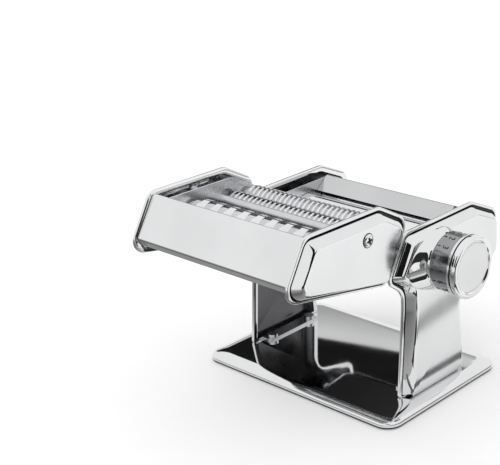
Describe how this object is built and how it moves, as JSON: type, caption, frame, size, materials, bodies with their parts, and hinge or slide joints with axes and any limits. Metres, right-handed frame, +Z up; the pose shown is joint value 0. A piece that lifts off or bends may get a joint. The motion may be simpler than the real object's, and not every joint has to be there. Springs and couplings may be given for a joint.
{
  "type": "pasta roller machine",
  "caption": "Chromed hand-cranked dough roller on a flat base, with pressed side frames, a thickness knob on the right and a lift-off ribbon cutter unit in front.",
  "frame": {"origin": "centre of the base's underside, on the surface it stands on", "axes": "+Z up; +X towards the adjusting knob; -Y towards the cutter unit, which is the front"},
  "size_m": [0.197, 0.2245, 0.1571],
  "materials": {
    "chrome_plate": "mirror",
    "polished_roller": "polished",
    "bright_steel": "satin",
    "gear_steel": "machined",
    "dial_steel": "satin, numbered",
    "nylon": "moulded",
    "mat_rubber": "matt"
  },
  "bodies": {
    "frame": {"base_plate": "chrome_plate", "rubber_base_mat": "mat_rubber", "left_side_frame": "chrome_plate", "right_side_frame": "chrome_plate", "foot_brackets": "bright_steel", "foot_screws": "bright_steel", "left_bearing_plate": "bright_steel", "right_bearing_plate": "bright_steel", "frame_tie_rods": "bright_steel", "rear_roller_bushes": "nylon", "top_cover": "chrome_plate", "front_guide_plate": "chrome_plate", "rear_scraper": "bright_steel"},
    "adjuster": {"adjuster_shaft": "bright_steel", "knob_spring": "bright_steel"},
    "knob": {"adjusting_knob": "chrome_plate", "dial_barrel": "dial_steel", "index_pin": "bright_steel"},
    "front_carriage": {"left_slide_block": "nylon", "right_slide_block": "nylon", "front_scraper": "bright_steel"},
    "front_roller": {"front_roller": "polished_roller", "front_roller_gear": "gear_steel"},
    "rear_roller": {"rear_roller": "polished_roller", "rear_roller_gear": "gear_steel"},
    "cutter_unit": {"left_cutter_plate": "chrome_plate", "right_cutter_plate": "chrome_plate", "left_cutter_inner_plate": "bright_steel", "right_cutter_inner_plate": "bright_steel", "cutter_tie_rods": "bright_steel", "cutter_plate_screws": "bright_steel", "guard_panel": "chrome_plate", "cutter_bushes": "nylon", "cutter_rails": "bright_steel", "wide_comb_front": "bright_steel", "wide_comb_rear": "bright_steel", "narrow_comb_front": "bright_steel", "narrow_comb_rear": "bright_steel"},
    "wide_cutter_front": {"wide_cutter_front": "polished_roller", "wide_gear_front": "gear_steel"},
    "wide_cutter_rear": {"wide_cutter_rear": "polished_roller", "wide_gear_rear": "gear_steel"},
    "narrow_cutter_front": {"narrow_cutter_front": "polished_roller", "narrow_gear_front": "gear_steel"},
    "narrow_cutter_rear": {"narrow_cutter_rear": "polished_roller", "narrow_gear_rear": "gear_steel"}
  },
  "joints": [
    {"name": "knob_turn", "type": "hinge", "parent": "frame", "child": "adjuster", "pos_m": [0, 0.00715, 0.1022], "axis": [1, 0, 0], "range_deg": [0, 240]},
    {"name": "knob_pull", "type": "slide", "parent": "adjuster", "child": "knob", "axis": [1, 0, 0], "range_m": [0, 0.004], "stiffness_N_per_m": 300, "springref_m": -0.008},
    {"name": "roller_gap", "type": "slide", "parent": "frame", "child": "front_carriage", "axis": [0, 1, 0], "range_m": [0, 0.0016]},
    {"name": "rear_roller_spin", "type": "hinge", "parent": "frame", "child": "rear_roller", "pos_m": [0, 0.0536, 0.1022], "axis": [1, 0, 0], "continuous": true},
    {"name": "front_roller_spin", "type": "hinge", "parent": "front_carriage", "child": "front_roller", "pos_m": [0, 0.0246, 0.1022], "axis": [1, 0, 0], "continuous": true},
    {"name": "cutter_lift_off", "type": "slide", "parent": "frame", "child": "cutter_unit", "axis": [0, 0.5276, 0.8495], "range_m": [0, 0.045]},
    {"name": "wide_front_spin", "type": "hinge", "parent": "cutter_unit", "child": "wide_cutter_front", "pos_m": [0, -0.109, 0.137], "axis": [1, 0, 0], "continuous": true},
    {"name": "wide_rear_spin", "type": "hinge", "parent": "cutter_unit", "child": "wide_cutter_rear", "pos_m": [0, -0.0912, 0.137], "axis": [1, 0, 0], "continuous": true},
    {"name": "narrow_front_spin", "type": "hinge", "parent": "cutter_unit", "child": "narrow_cutter_front", "pos_m": [0, -0.0545, 0.131], "axis": [1, 0, 0], "continuous": true},
    {"name": "narrow_rear_spin", "type": "hinge", "parent": "cutter_unit", "child": "narrow_cutter_rear", "pos_m": [0, -0.0367, 0.131], "axis": [1, 0, 0], "continuous": true}
  ],
  "couplings": [
    {"joint": "front_roller_spin", "follows": "rear_roller_spin", "ratio": -1},
    {"joint": "knob_turn", "follows": "roller_gap", "rad_per_m": 2615.4},
    {"joint": "wide_rear_spin", "follows": "wide_front_spin", "ratio": -1},
    {"joint": "narrow_rear_spin", "follows": "narrow_front_spin", "ratio": -1}
  ]
}
